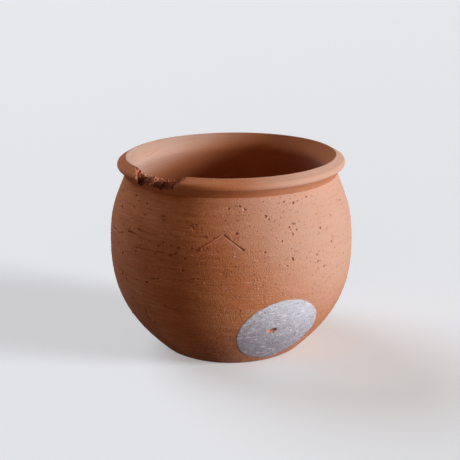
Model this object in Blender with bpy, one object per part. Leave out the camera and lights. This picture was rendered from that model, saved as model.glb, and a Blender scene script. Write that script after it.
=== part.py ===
"""A round-bellied terracotta flower pot: a turned wall, a lapped rim collar, a floor with a drain hole
and a spot of silver paint. The pot stands on its foot ring at z = 0, with its axis on Z and its front
towards -Y. An azimuth is counted from the front, positive towards +X."""

import math

import bmesh
import bpy
from mathutils import Vector
from mathutils.geometry import interpolate_bezier

MM = 0.001

# Driving dimensions
HEIGHT = 88.1 * MM
RIM_RADIUS = 50.9 * MM
LIP_RADIUS = 47.3 * MM
SHOULDER_RADIUS = 47.75 * MM
BELLY_RADIUS = 55.1 * MM
FOOT_RADIUS = 31.7 * MM
WALL_THICKNESS = 5.2 * MM
GAP = 0.3 * MM

# Outside of the belly: heights, and the slopes and lengths of its curve handles
SHOULDER_DROP = 8.3 * MM
BELLY_HEIGHT = 46.9 * MM
FOOT_SLOPE = math.radians(43.6)
FOOT_HANDLE = 16.4 * MM
BELLY_HANDLE_DOWN = 24.1 * MM
BELLY_HANDLE_UP = 17.9 * MM
SHOULDER_SLOPE = math.radians(70.0)
SHOULDER_HANDLE = 13.1 * MM
SHOULDER_EDGE = 0.5 * MM

# Foot ring and floor
FOOT_EDGE = 0.8 * MM
FOOT_RING_INNER = 25.5 * MM
FLOOR_RECESS = 2.0 * MM
FLOOR_THICKNESS = 6.5 * MM
FLOOR_RADIUS = 28.5 * MM
FLOOR_EDGE = 0.8 * MM
DRAIN_RADIUS = 6.0 * MM

# Inside of the wall, which narrows at the neck and flares to the lip
INNER_FOOT_SLOPE = math.radians(40.0)
INNER_FOOT_HANDLE = 13.0 * MM
INNER_BELLY_HANDLE_DOWN = 20.0 * MM
INNER_BELLY_HANDLE_UP = 15.0 * MM
NECK_INNER_RADIUS = 43.0 * MM
NECK_INNER_HANDLE = 10.0 * MM
FLARE_SLOPE = math.radians(51.0)
FLARE_HANDLE = 2.6 * MM
NECK_FLARE_HANDLE = 3.5 * MM

# Lip edge, and the tongue under it that carries the rim collar
LIP_WIDTH = 0.6 * MM
LIP_EDGE = 0.2 * MM
TONGUE_TOP_DROP = 0.3 * MM
TONGUE_FOOT_RADIUS = 44.6 * MM

# Rim collar
COLLAR_EDGE = 0.35 * MM
BEAD_RADIUS = 1.9 * MM
BEAD_DROP = 3.2 * MM
BEAD_FIRST_ANGLE = 50.0
BEAD_LAST_ANGLE = -100.0
NECK_RADIUS = 46.8 * MM
NECK_TOP_DROP = 6.6 * MM
UNDERCUT_HANDLE = 1.2 * MM

# Broken place in the rim, whose left end runs slanting across the rim
CHIP_LEFT = math.radians(-64.5)
CHIP_LEFT_SLANT = math.radians(9.0)
CHIP_RIGHT = math.radians(-20.0)
CHIP_LEFT_RAMP = math.radians(4.0)
CHIP_RIGHT_RAMP = math.radians(15.0)
CHIP_INNER_RADIUS = 43.5 * MM
CHIP_INNER_DEPTH = 4.4 * MM
CHIP_OUTER_DEPTH = 6.7 * MM
CHIP_RIPPLE = 0.35 * MM
CHIP_RIPPLES_PER_RADIAN = 23.0
CHIP_MARGIN = 2.0 * MM
CHIP_COLUMNS = 16
CHIP_ROWS = 5

# Silver paint: the spot ends where a slanted plane meets the belly
PAINT_AZIMUTH = math.radians(25.0)
PAINT_TILT = math.radians(-30.0)
PAINT_PLANE = 28.8 * MM
PAINT_THICKNESS = 0.3 * MM
PAINT_TOP = 42.0 * MM

STEPS = 64
SHARP_ANGLE = math.radians(40.0)
WELD = 0.00001

SEAT = HEIGHT - SHOULDER_DROP
FLOOR_LOW = FLOOR_RECESS + GAP
FLOOR_TOP = FLOOR_LOW + FLOOR_THICKNESS


def step_out(point, length, angle):
    """The point a length away from another, at an angle above the outward direction."""
    return (point[0] + length * math.cos(angle), point[1] + length * math.sin(angle))


def curve(start, start_handle, end_handle, end, count):
    """Points (radius, height) along one Bezier span, ends included."""
    span = [Vector((r, z, 0.0)) for r, z in (start, start_handle, end_handle, end)]
    return [(p.x, p.y) for p in interpolate_bezier(*span, count)]


def arc(centre, radius, first, last, count):
    """Points on an arc between two angles in degrees, counted from the outward direction."""
    angles = [math.radians(first + (last - first) * i / (count - 1)) for i in range(count)]
    return [step_out(centre, radius, angle) for angle in angles]


def belly_curve():
    """The outside of the body from the shoulder down to the foot."""
    shoulder = (SHOULDER_RADIUS, SEAT)
    belly = (BELLY_RADIUS, BELLY_HEIGHT)
    foot = (FOOT_RADIUS, 0.0)
    below_shoulder = step_out(shoulder, SHOULDER_HANDLE, -SHOULDER_SLOPE)
    above_belly = (BELLY_RADIUS, BELLY_HEIGHT + BELLY_HANDLE_UP)
    under_belly = (BELLY_RADIUS, BELLY_HEIGHT - BELLY_HANDLE_DOWN)
    above_foot = step_out(foot, FOOT_HANDLE, FOOT_SLOPE)
    upper = curve(shoulder, below_shoulder, above_belly, belly, 8)
    lower = curve(belly, under_belly, above_foot, foot, 11)
    return upper + lower[1:]


def inner_curve():
    """The inside of the wall from the edge of the floor up to the lip."""
    corner = (FLOOR_RADIUS + GAP, FLOOR_TOP)
    belly = (BELLY_RADIUS - WALL_THICKNESS, BELLY_HEIGHT)
    neck = (NECK_INNER_RADIUS, SEAT)
    lip = (LIP_RADIUS - LIP_WIDTH, HEIGHT - LIP_EDGE)
    above_corner = step_out(corner, INNER_FOOT_HANDLE, INNER_FOOT_SLOPE)
    under_belly = (belly[0], BELLY_HEIGHT - INNER_BELLY_HANDLE_DOWN)
    above_belly = (belly[0], BELLY_HEIGHT + INNER_BELLY_HANDLE_UP)
    below_neck = step_out(neck, NECK_INNER_HANDLE, -SHOULDER_SLOPE)
    above_neck = step_out(neck, -NECK_FLARE_HANDLE, -SHOULDER_SLOPE)
    below_lip = step_out(lip, -FLARE_HANDLE, FLARE_SLOPE)
    lower = curve(corner, above_corner, under_belly, belly, 8)
    upper = curve(belly, above_belly, below_neck, neck, 7)
    flare = curve(neck, above_neck, below_lip, lip, 6)
    return lower + upper[1:] + flare[1:]


def wall_outline():
    """Section of the wall, down its outside from the lip and back up its inside."""
    tongue = [(LIP_RADIUS, HEIGHT - TONGUE_TOP_DROP), (TONGUE_FOOT_RADIUS, SEAT)]
    ledge = [(SHOULDER_RADIUS - SHOULDER_EDGE, SEAT), (SHOULDER_RADIUS, SEAT - SHOULDER_EDGE)]
    body = belly_curve()[1:-1]
    foot_edge = [step_out((FOOT_RADIUS, 0.0), FOOT_EDGE, FOOT_SLOPE)]
    foot_ring = [(FOOT_RADIUS - FOOT_EDGE, 0.0), (FOOT_RING_INNER, 0.0)]
    pocket = [(FOOT_RING_INNER, FLOOR_RECESS), (FLOOR_RADIUS + GAP, FLOOR_RECESS)]
    lip = [(LIP_RADIUS - LIP_WIDTH * 0.5, HEIGHT)]
    return tongue + ledge + body + foot_edge + foot_ring + pocket + inner_curve() + lip


def collar_outline():
    """Section of the rim collar, down its outside and back up the face that hugs the tongue."""
    hug_top = (LIP_RADIUS + GAP, HEIGHT - TONGUE_TOP_DROP - LIP_EDGE)
    top_edge = (hug_top[0] + COLLAR_EDGE, hug_top[1] + LIP_EDGE)
    bead_centre = (RIM_RADIUS - BEAD_RADIUS, HEIGHT - BEAD_DROP)
    bead = arc(bead_centre, BEAD_RADIUS, BEAD_FIRST_ANGLE, BEAD_LAST_ANGLE, 7)
    neck_top = (NECK_RADIUS, HEIGHT - NECK_TOP_DROP)
    bead_handle = (bead[-1][0] - UNDERCUT_HANDLE, bead[-1][1])
    neck_handle = (NECK_RADIUS, neck_top[1] + UNDERCUT_HANDLE)
    undercut = curve(bead[-1], bead_handle, neck_handle, neck_top, 5)
    foot = [(NECK_RADIUS, SEAT + GAP), (TONGUE_FOOT_RADIUS + GAP, SEAT + GAP)]
    return [top_edge] + bead + undercut[1:] + foot + [hug_top]


def floor_outline():
    """Section of the floor, from its outer edge round to the drain hole."""
    return [
        (FLOOR_RADIUS - FLOOR_EDGE, FLOOR_TOP),
        (FLOOR_RADIUS, FLOOR_TOP - FLOOR_EDGE),
        (FLOOR_RADIUS, FLOOR_LOW),
        (DRAIN_RADIUS + FLOOR_EDGE, FLOOR_LOW),
        (DRAIN_RADIUS, FLOOR_LOW + FLOOR_EDGE),
        (DRAIN_RADIUS, FLOOR_TOP - FLOOR_EDGE),
        (DRAIN_RADIUS + FLOOR_EDGE, FLOOR_TOP),
    ]


def paint_outline():
    """Section of a thin shell that follows the body at the paint's thickness."""
    body = [point for point in belly_curve() if point[1] < PAINT_TOP]
    near = []
    far = []
    for i, (r, z) in enumerate(body):
        above = body[max(i - 1, 0)]
        below = body[min(i + 1, len(body) - 1)]
        outward = math.atan2(below[0] - above[0], above[1] - below[1])
        near.append(step_out((r, z), GAP, outward))
        far.append(step_out((r, z), GAP + PAINT_THICKNESS, outward))
    return far + near[::-1]


def finish(name, colour, roughness, metallic):
    """A plain material for one piece."""
    material = bpy.data.materials.new(name)
    material.use_nodes = True
    shader = material.node_tree.nodes["Principled BSDF"]
    shader.inputs["Base Color"].default_value = (*colour, 1.0)
    shader.inputs["Roughness"].default_value = roughness
    shader.inputs["Metallic"].default_value = metallic
    return material


def add_object(name, mesh):
    """Link a mesh to the scene as an object."""
    thing = bpy.data.objects.new(name, mesh)
    bpy.context.scene.collection.objects.link(thing)
    return thing


def turned(name, outline, material):
    """Turn a closed section round the pot's axis."""
    mesh = bpy.data.meshes.new(name)
    sides = [(i, (i + 1) % len(outline)) for i in range(len(outline))]
    mesh.from_pydata([(r, 0.0, z) for r, z in outline], sides, [])
    mesh.materials.append(material)
    thing = add_object(name, mesh)
    screw = thing.modifiers.new("turn", "SCREW")
    screw.axis = "Z"
    screw.angle = math.tau
    screw.steps = STEPS
    screw.render_steps = STEPS
    screw.use_merge_vertices = True
    screw.merge_threshold = WELD
    return thing


def cut_with(thing, cutter, operation):
    """Boolean a guide solid into an object."""
    boolean = thing.modifiers.new(cutter.name, "BOOLEAN")
    boolean.operation = operation
    boolean.solver = "EXACT"
    boolean.object = cutter


def shade_by_angle(thing):
    """Keep the evaluated shape, shaded smooth but for the edges where it turns sharply."""
    evaluated = thing.evaluated_get(bpy.context.evaluated_depsgraph_get())
    mesh = bpy.data.meshes.new_from_object(evaluated)
    thing.modifiers.clear()
    thing.data = mesh
    mesh.shade_smooth()
    mesh.set_sharp_from_angle(angle=SHARP_ANGLE)


def guide(name, bm):
    """A solid that only shapes others."""
    mesh = bpy.data.meshes.new(name)
    bm.to_mesh(mesh)
    bm.free()
    thing = add_object(name, mesh)
    thing.hide_render = True
    thing.display_type = "WIRE"
    return thing


def ramp(distance, length):
    """0 to 1 over a length, smoothed at both ends."""
    t = min(max(distance / length, 0.0), 1.0)
    return t * t * (3.0 - 2.0 * t)


def chip_depth(azimuth, radius):
    """How far the fracture lies under the lip: deepest at the neck, and above it past both ends."""
    across = (radius - CHIP_INNER_RADIUS) / (NECK_RADIUS - CHIP_INNER_RADIUS)
    across = min(max(across, 0.0), 1.0)
    depth = CHIP_INNER_DEPTH + (CHIP_OUTER_DEPTH - CHIP_INNER_DEPTH) * across
    depth += CHIP_RIPPLE * math.sin(CHIP_RIPPLES_PER_RADIAN * azimuth + 2.0 * across)
    slant = CHIP_LEFT_SLANT * (radius - CHIP_INNER_RADIUS) / (RIM_RADIUS - CHIP_INNER_RADIUS)
    left = ramp(azimuth - CHIP_LEFT - slant, CHIP_LEFT_RAMP)
    right = ramp(CHIP_RIGHT - azimuth, CHIP_RIGHT_RAMP)
    opened = min(left, right)
    return depth * opened - CHIP_MARGIN * (1.0 - opened)


def chip_cutter():
    """The solid broken out of the rim, standing above the fracture."""
    near = NECK_INNER_RADIUS - CHIP_MARGIN
    far = RIM_RADIUS + CHIP_MARGIN
    bm = bmesh.new()
    rows = []
    for j in range(CHIP_ROWS):
        radius = near + (far - near) * j / (CHIP_ROWS - 1)
        row = []
        for i in range(CHIP_COLUMNS + 1):
            azimuth = CHIP_LEFT + (CHIP_RIGHT - CHIP_LEFT) * i / CHIP_COLUMNS
            height = HEIGHT - chip_depth(azimuth, radius)
            place = (radius * math.sin(azimuth), -radius * math.cos(azimuth), height)
            row.append(bm.verts.new(place))
        rows.append(row)
    for inner, outer in zip(rows, rows[1:]):
        for i in range(CHIP_COLUMNS):
            bm.faces.new((inner[i], inner[i + 1], outer[i + 1], outer[i]))
    raised = bmesh.ops.extrude_face_region(bm, geom=bm.faces[:])
    for part in raised["geom"]:
        if isinstance(part, bmesh.types.BMVert):
            part.co.z = HEIGHT + 2.0 * CHIP_MARGIN
    bmesh.ops.recalc_face_normals(bm, faces=bm.faces[:])
    return guide("chip_cutter", bm)


def paint_cutter():
    """A block whose near face is the plane that bounds the silver spot."""
    size = 4.0 * BELLY_RADIUS
    level = math.cos(PAINT_TILT)
    outward = Vector((
        level * math.sin(PAINT_AZIMUTH),
        -level * math.cos(PAINT_AZIMUTH),
        math.sin(PAINT_TILT),
    ))
    bm = bmesh.new()
    bmesh.ops.create_cube(bm, size=size)
    thing = guide("paint_cutter", bm)
    thing.rotation_mode = "QUATERNION"
    thing.rotation_quaternion = outward.to_track_quat("Z", "Y")
    thing.location = outward * (PAINT_PLANE + size * 0.5)
    return thing


def main():
    for thing in list(bpy.data.objects):
        bpy.data.objects.remove(thing, do_unlink=True)
    wall_clay = finish("wall_clay", (0.56, 0.21, 0.11), 0.85, 0.0)
    rim_clay = finish("rim_clay", (0.58, 0.23, 0.125), 0.8, 0.0)
    floor_clay = finish("floor_clay", (0.54, 0.20, 0.10), 0.88, 0.0)
    silver_paint = finish("silver_paint", (0.52, 0.50, 0.54), 0.6, 0.35)
    wall = turned("belly_wall", wall_outline(), wall_clay)
    collar = turned("rim_collar", collar_outline(), rim_clay)
    floor = turned("floor_disc", floor_outline(), floor_clay)
    spot = turned("silver_spot", paint_outline(), silver_paint)
    chip = chip_cutter()
    cut_with(wall, chip, "DIFFERENCE")
    cut_with(collar, chip, "DIFFERENCE")
    cut_with(spot, paint_cutter(), "INTERSECT")
    bpy.context.view_layer.update()
    pot = add_object("pot", None)
    for piece in (wall, collar, floor, spot):
        shade_by_angle(piece)
        piece.parent = pot


main()
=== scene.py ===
# %% [markdown]
# # A terracotta flower pot
# The pot is thrown on a wheel from coarse clay, so nearly all of it follows one rule: a section turned
# round an axis. Its life is in what breaks that rule, which is the pits, the drag marks of the grit, the
# chip in the rim and the spot of silver paint. We load the solid parts first, because every visible
# piece has to stand where its solid stands and stay inside the same box.

import math

import bmesh
import bpy
from mathutils import Matrix, Vector, noise
from mathutils.geometry import interpolate_bezier


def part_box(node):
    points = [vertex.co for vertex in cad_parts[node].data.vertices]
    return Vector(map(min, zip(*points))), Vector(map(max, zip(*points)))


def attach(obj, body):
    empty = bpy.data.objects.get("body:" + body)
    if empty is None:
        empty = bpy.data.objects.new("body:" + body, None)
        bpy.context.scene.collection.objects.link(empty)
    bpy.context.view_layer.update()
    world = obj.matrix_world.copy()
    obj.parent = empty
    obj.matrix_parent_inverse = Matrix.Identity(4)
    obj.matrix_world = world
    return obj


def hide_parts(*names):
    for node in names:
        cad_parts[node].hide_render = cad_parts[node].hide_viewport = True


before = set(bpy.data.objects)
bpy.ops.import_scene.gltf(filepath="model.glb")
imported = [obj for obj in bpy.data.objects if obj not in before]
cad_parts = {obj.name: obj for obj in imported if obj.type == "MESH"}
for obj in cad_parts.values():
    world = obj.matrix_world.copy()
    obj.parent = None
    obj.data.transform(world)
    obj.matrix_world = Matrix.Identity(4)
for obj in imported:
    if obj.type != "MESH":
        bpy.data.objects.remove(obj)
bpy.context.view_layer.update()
MM = 0.001

# %% [markdown]
# ## The camera
# The camera stands where the photograph was taken. Its place comes from fitting the outline of the lip,
# the belly and the foot, so it is given as a spot, a downward pitch, a small roll and a lens. The three
# axes of the camera are written straight into its matrix: right, up and backwards.

# %% Set up the camera
CAMERA_PLACE = Vector((-0.4985, -477.559, 194.755)) * MM
CAMERA_PITCH = math.radians(16.6055)
CAMERA_ROLL = math.radians(-0.7161)
CAMERA_LENS = 85.3306
SENSOR_WIDTH = 36.0
NEAREST_SEEN = 0.01


def put_in(name, data):
    """A new object in the scene, at the origin."""
    thing = bpy.data.objects.new(name, data)
    bpy.context.scene.collection.objects.link(thing)
    return thing


ahead = Vector((0.0, math.cos(CAMERA_PITCH), -math.sin(CAMERA_PITCH)))
level_right = Vector((1.0, 0.0, 0.0))
level_up = level_right.cross(ahead)
right = math.cos(CAMERA_ROLL) * level_right + math.sin(CAMERA_ROLL) * level_up
up = math.cos(CAMERA_ROLL) * level_up - math.sin(CAMERA_ROLL) * level_right

lens = bpy.data.cameras.new("pot_camera")
lens.sensor_width = SENSOR_WIDTH
lens.lens = CAMERA_LENS
lens.clip_start = NEAREST_SEEN
camera = put_in("pot_camera", lens)
axes = Matrix((right, up, -ahead)).transposed().to_4x4()
camera.matrix_world = Matrix.Translation(CAMERA_PLACE) @ axes
bpy.context.scene.camera = camera
print("camera in mm", [round(c / MM, 1) for c in camera.location], "lens", lens.lens)

# %% [markdown]
# ## Small helpers for node trees
# Trees for geometry and for materials are built the same way: add a node, set its options, and feed its
# inputs with plain values or with the outputs of other nodes. A few helpers do that for every tree in
# this lesson, and some short ones add the sums that come up most.

# %% Helpers for node trees


def feed(tree, socket, value):
    """Give an input a plain value, or link it to another node's output. A colour may leave out alpha."""
    if isinstance(value, bpy.types.NodeSocket):
        tree.links.new(value, socket)
    elif socket.type == "RGBA":
        socket.default_value = (*value, 1.0)
    else:
        socket.default_value = value


def wire(tree, node, values):
    """Feed several inputs of a node, by name or by number."""
    for name, value in values.items():
        feed(tree, node.inputs[name], value)


def add(tree, kind, values=None, **options):
    """Add a node with its options set and its inputs fed."""
    node = tree.nodes.new(kind)
    for name, option in options.items():
        setattr(node, name, option)
    wire(tree, node, values or {})
    return node


def new_tree(name, inputs, outputs, kind="GeometryNodeTree"):
    """An empty tree with named sockets, and its two end nodes."""
    tree = bpy.data.node_groups.new(name, kind)
    for label, socket, value in inputs:
        made = tree.interface.new_socket(label, in_out="INPUT", socket_type="NodeSocket" + socket)
        if value is not None:
            made.default_value = (*value, 1.0) if socket == "Color" else value
    for label, socket in outputs:
        tree.interface.new_socket(label, in_out="OUTPUT", socket_type="NodeSocket" + socket)
    return tree, tree.nodes.new("NodeGroupInput").outputs, tree.nodes.new("NodeGroupOutput").inputs


def new_material(name):
    """An empty material, with its tree and its shader."""
    material = bpy.data.materials.new(name)
    material.use_nodes = True
    return material, material.node_tree, material.node_tree.nodes["Principled BSDF"]


print("helpers ready: feed, wire, add, new_tree, new_material")

# %% Helpers for sums


def calc(tree, operation, *values):
    """A sum on numbers."""
    return add(tree, "ShaderNodeMath", dict(enumerate(values)), operation=operation).outputs[0]


def vector_calc(tree, operation, *values):
    """A sum on vectors. Scaling takes a vector and a number."""
    names = (0, "Scale") if operation == "SCALE" else range(len(values))
    return add(tree, "ShaderNodeVectorMath", dict(zip(names, values)), operation=operation).outputs[0]


def dot(tree, first, second):
    """How far one vector runs along another."""
    return add(tree, "ShaderNodeVectorMath", {0: first, 1: second}, operation="DOT_PRODUCT").outputs["Value"]


def xyz(tree, x=0.0, y=0.0, z=0.0):
    """A vector from three numbers."""
    return add(tree, "ShaderNodeCombineXYZ", {"X": x, "Y": y, "Z": z}).outputs[0]


def fade(tree, value, start, end):
    """0 below the start, 1 past the end, and smooth between."""
    values = {"Value": value, "From Min": start, "From Max": end}
    return add(tree, "ShaderNodeMapRange", values, interpolation_type="SMOOTHSTEP").outputs[0]


def cloudy(tree, place, scale, detail=2.0, roughness=0.5):
    """Noise between about 0.2 and 0.8."""
    values = {"Vector": place, "Scale": scale, "Detail": detail, "Roughness": roughness}
    return add(tree, "ShaderNodeTexNoise", values).outputs[0]


def stretched(tree, place, length, height):
    """A place measured in lengths round the pot and in heights up it."""
    return vector_calc(tree, "DIVIDE", place, xyz(tree, length, length, height))


def blend(tree, amount, first, second):
    """Mix two colours."""
    return add(tree, "ShaderNodeMix", {"Factor": amount, 6: first, 7: second}, data_type="RGBA").outputs[2]


print("helpers ready: calc, vector_calc, dot, xyz, fade, cloudy, stretched, blend")

# %% [markdown]
# ## Measuring the solids
# Heights and radii that the solids already have are measured from them, so that the visible pot follows
# when a solid is resized. The seat is the ledge that the rolled rim stands on, a fixed drop below the lip.

# %% Measure the solids
SEAT_DROP = 8.3 * MM

wall_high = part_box("belly_wall")[1]
collar_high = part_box("rim_collar")[1]
floor_low, floor_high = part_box("floor_disc")

HEIGHT = wall_high.z
BELLY_RADIUS = wall_high.x
RIM_RADIUS = collar_high.x
SEAT = HEIGHT - SEAT_DROP
FLOOR_TOP = floor_high.z
FLOOR_LOW = floor_low.z
FLOOR_RADIUS = floor_high.x
print("height, belly, rim in mm", [round(c / MM, 2) for c in (HEIGHT, BELLY_RADIUS, RIM_RADIUS)])

# %% [markdown]
# ## The look of fired clay
# Wall, rim, floor and fracture are one clay, seen on the outer skin or torn. What they share goes into one
# shader group: a sandy grain, lumps under the skin, specks of pale and dark grit, wide flushes from the
# kiln, and faint streaks where the tool drew the fine clay along. The group also paints light and shade
# into the colour. Painted light makes the clay paler towards the side that the window lamp lights, and
# the streaks break part of it up. The same input paints shade into the deep parts of the break, the neck
# groove and the pits, and paints both light and shade inside the pot. The group gives a colour, a roughness
# and a height, and the material turns the height to a bump. The slight powdery sheen is the same all over,
# so it stays on the shader.

# %% Build the fired clay group
clay, given, out = new_tree("Fired clay", [
    ("Clay", "Color", (0.5, 0.15, 0.06)),
    ("Pale", "Color", (0.6, 0.25, 0.15)),
    ("Dark", "Color", (0.3, 0.08, 0.03)),
    ("Bloom", "Color", (0.68, 0.40, 0.29)),
    ("Bloom Share", "Float", 0.0),
    ("Bloom Side", "Vector", (0.8, -0.4, 0.45)),
    ("Bloom From", "Float", 42.0 * MM),
    ("Bloom To", "Float", 74.0 * MM),
    ("Streak Length", "Float", 14.0 * MM),
    ("Streak Height", "Float", 0.7 * MM),
    ("Streaks", "Float", 0.5),
    ("Grain Size", "Float", 0.6 * MM),
    ("Lump Size", "Float", 2.4 * MM),
    ("Grit", "Color", (0.74, 0.42, 0.28)),
    ("Speck Size", "Float", 1.6 * MM),
    ("Specks", "Float", 0.4),
], [("Color", "Color"), ("Roughness", "Float"), ("Height", "Float")], "ShaderNodeTree")
print("fired clay takes", len(given) - 1, "values")

# %% Make each effect
FLUSHES_PER_METRE = 45.0
STREAK_CUT_TONES = (0.50, 0.72)
STREAK_CUT_SHARE = 0.45
SPECK_EDGE = (0.10, 0.30)
PALE_SPECKS_ABOVE = 0.70
DARK_SPECKS_ABOVE = 0.72

place = add(clay, "ShaderNodeTexCoord").outputs["Object"]
streak_at = stretched(clay, place, given["Streak Length"], given["Streak Height"])
streaks = cloudy(clay, streak_at, 1.0, 4.0, 0.65)
grain = cloudy(clay, place, calc(clay, "DIVIDE", 1.0, given["Grain Size"]), 3.0, 0.65)
under_skin = cloudy(clay, place, calc(clay, "DIVIDE", 1.0, given["Lump Size"]), 1.0)
flush = cloudy(clay, place, FLUSHES_PER_METRE, 3.0)
# Painted light and shade: a mask that grows along one direction, partly cut away by the streaks, blends in a
# pale colour for painted light or a dark one for painted shade.
painted_shading = fade(clay, dot(clay, place, given["Bloom Side"]), given["Bloom From"], given["Bloom To"])
streak_cut = calc(clay, "MULTIPLY_ADD", fade(clay, streaks, *STREAK_CUT_TONES), -STREAK_CUT_SHARE, 1.0)
painted_shading = calc(clay, "MULTIPLY", calc(clay, "MULTIPLY", painted_shading, streak_cut), given["Bloom Share"])
speck_scale = calc(clay, "DIVIDE", 1.0, given["Speck Size"])
speck = add(clay, "ShaderNodeTexVoronoi", {"Vector": place, "Scale": speck_scale})
near_speck = calc(clay, "SUBTRACT", 1.0, fade(clay, speck.outputs["Distance"], *SPECK_EDGE))
kind = add(clay, "ShaderNodeSeparateColor", {"Color": speck.outputs["Color"]}).outputs
pale_speck = calc(clay, "MULTIPLY", calc(clay, "GREATER_THAN", kind[0], PALE_SPECKS_ABOVE), near_speck)
dark_speck = calc(clay, "MULTIPLY", calc(clay, "GREATER_THAN", kind[1], DARK_SPECKS_ABOVE), near_speck)
print("fired clay shows streaks, grain, lumps, flushes, bloom and specks")

# %% Bring the effects together
FLUSH_SHARE = 0.4
GRAIN_SHARE = 0.45
DARK_TONES = (0.20, 0.43)
PALE_TONES = (0.43, 0.68)
LEAST_ROUGH = 0.70
GRAIN_ROUGH = 0.25
LUMP_RISE = 0.4
SPECK_RISE = 0.6
STREAK_RISE = 0.8

streak_part = calc(clay, "MULTIPLY", calc(clay, "SUBTRACT", streaks, 0.5), given["Streaks"])
tone = calc(clay, "MULTIPLY_ADD", flush, FLUSH_SHARE, calc(clay, "MULTIPLY", grain, GRAIN_SHARE))
tone = calc(clay, "ADD", tone, streak_part)
colour = blend(clay, fade(clay, tone, *DARK_TONES), given["Dark"], given["Clay"])
colour = blend(clay, fade(clay, tone, *PALE_TONES), colour, given["Pale"])
# Blend in the painted shading: pale where it paints light, dark where it paints shade.
colour = blend(clay, painted_shading, colour, given["Bloom"])
colour = blend(clay, calc(clay, "MULTIPLY", pale_speck, given["Specks"]), colour, given["Grit"])
colour = blend(clay, calc(clay, "MULTIPLY", dark_speck, given["Specks"]), colour, given["Dark"])
lumps = calc(clay, "MULTIPLY", calc(clay, "SUBTRACT", pale_speck, dark_speck), given["Specks"])
relief = calc(clay, "MULTIPLY_ADD", under_skin, LUMP_RISE, grain)
relief = calc(clay, "MULTIPLY_ADD", lumps, SPECK_RISE, relief)
feed(clay, out["Color"], colour)
feed(clay, out["Roughness"], calc(clay, "MULTIPLY_ADD", grain, GRAIN_ROUGH, LEAST_ROUGH))
feed(clay, out["Height"], calc(clay, "MULTIPLY_ADD", streak_part, STREAK_RISE, relief))
print("fired clay group has", len(clay.nodes), "nodes")

# %% Mix the clay finishes
CLAY_GLOSS = 0.02
POWDER = (1.0, 0.92, 0.87)


def finish(name, bump, sheen, values):
    """A material in fired clay, with its own bump, sheen and values for the group."""
    material, tree, shader = new_material(name)
    body = add(tree, "ShaderNodeGroup", node_tree=clay)
    wire(tree, body, values)
    bumps = add(tree, "ShaderNodeBump", {"Strength": 1.0, "Distance": bump, "Height": body.outputs["Height"]})
    wire(tree, shader, {
        "Base Color": body.outputs["Color"], "Roughness": body.outputs["Roughness"],
        "Normal": bumps.outputs[0], "Specular IOR Level": CLAY_GLOSS,
        "Sheen Weight": sheen, "Sheen Roughness": 0.5, "Sheen Tint": POWDER})
    return material


# The skin and the rim get painted light: their clay turns paler towards the side that the window lamp lights.
TERRACOTTA = {"Clay": (0.60, 0.20, 0.077), "Pale": (0.70, 0.33, 0.175), "Dark": (0.42, 0.12, 0.043),
              "Bloom Share": 0.92}
RIM_LINES = {"Streaks": 0.5, "Streak Length": 40.0 * MM, "Streak Height": 0.45 * MM, "Specks": 0.2,
             "Bloom Side": (0.88, -0.47, 0.0), "Bloom From": 22.0 * MM, "Bloom To": 46.0 * MM}
# Painted shade in the neck groove under the bead: deeper colours and much less painted light than the rim.
SHADED_NECK = {"Clay": (0.62, 0.225, 0.095), "Pale": (0.68, 0.29, 0.145), "Dark": (0.52, 0.165, 0.065)}
TORN = {"Clay": (0.46, 0.16, 0.085), "Pale": (0.78, 0.45, 0.32), "Dark": (0.14, 0.03, 0.012),
        "Streaks": 0.0, "Grain Size": 1.0 * MM, "Specks": 0.9}
# Painted shade in the break: the fracture turns nearly black deeper than about 3 mm below the lip, where its
# hollows lie in shade.
PAINTED_HOLLOW_SHADE = {"Bloom": (0.09, 0.025, 0.012), "Bloom Side": (0.0, 0.0, -1.0),
             "Bloom From": 3.2 * MM - HEIGHT, "Bloom To": 5.4 * MM - HEIGHT, "Bloom Share": 0.75}
# Painted shade in the pits: darker than the skin, while painted light makes them paler towards the side that
# the window lamp lights.
SHADED_PITS = {"Clay": (0.44, 0.135, 0.052), "Pale": (0.60, 0.26, 0.13), "Dark": (0.30, 0.085, 0.03),
           "Bloom": (0.72, 0.43, 0.32), "Bloom From": 15.0 * MM, "Bloom To": 60.0 * MM, "Bloom Share": 0.9,
           "Streaks": 0.0}
# Painted shade and painted light inside: the clay is darker than the skin, with a pale painted band near the
# top, towards the left, where the window lamp reaches over the rim.
INSIDE = {"Clay": (0.46, 0.15, 0.06), "Pale": (0.54, 0.22, 0.10), "Dark": (0.38, 0.115, 0.042),
          "Bloom": (0.56, 0.35, 0.265), "Bloom Side": (-0.35, 0.0, 1.0), "Bloom From": 80.0 * MM,
          "Bloom To": 95.0 * MM, "Bloom Share": 0.95, "Specks": 0.1, "Streaks": 0.2}
wall_clay = finish("wall_clay", 0.35 * MM, 0.15, TERRACOTTA | {"Specks": 0.65, "Streaks": 0.7})
inside_clay = finish("inside_clay", 0.12 * MM, 0.15, INSIDE)
rim_clay = finish("rim_clay", 0.14 * MM, 0.15, TERRACOTTA | RIM_LINES)
neck_clay = finish("neck_clay", 0.14 * MM, 0.0, SHADED_NECK | RIM_LINES | {"Bloom Share": 0.3})
floor_clay = finish("floor_clay", 0.2 * MM, 0.1, TERRACOTTA)
pit_clay = finish("pit_clay", 0.2 * MM, 0.0, SHADED_PITS)
broken_clay = finish("broken_clay", 0.45 * MM, 0.0, TORN | PAINTED_HOLLOW_SHADE)
clays = (wall_clay, inside_clay, rim_clay, neck_clay, floor_clay, pit_clay, broken_clay)
print("clay finishes", [material.name for material in clays])

# %% [markdown]
# ## Silver paint
# The spot is a thin coat of silver paint that has soaked into the clay. It is pale and matt, with a cool
# lilac cast and level brush marks, and short bright glints are painted into its colour as painted highlights.
# It shines only a little because the flakes lie on a rough ground, so the metal share stays low and the marks
# vary the brightness and the roughness. Painted light makes the coat paler towards its upper edge.

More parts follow.
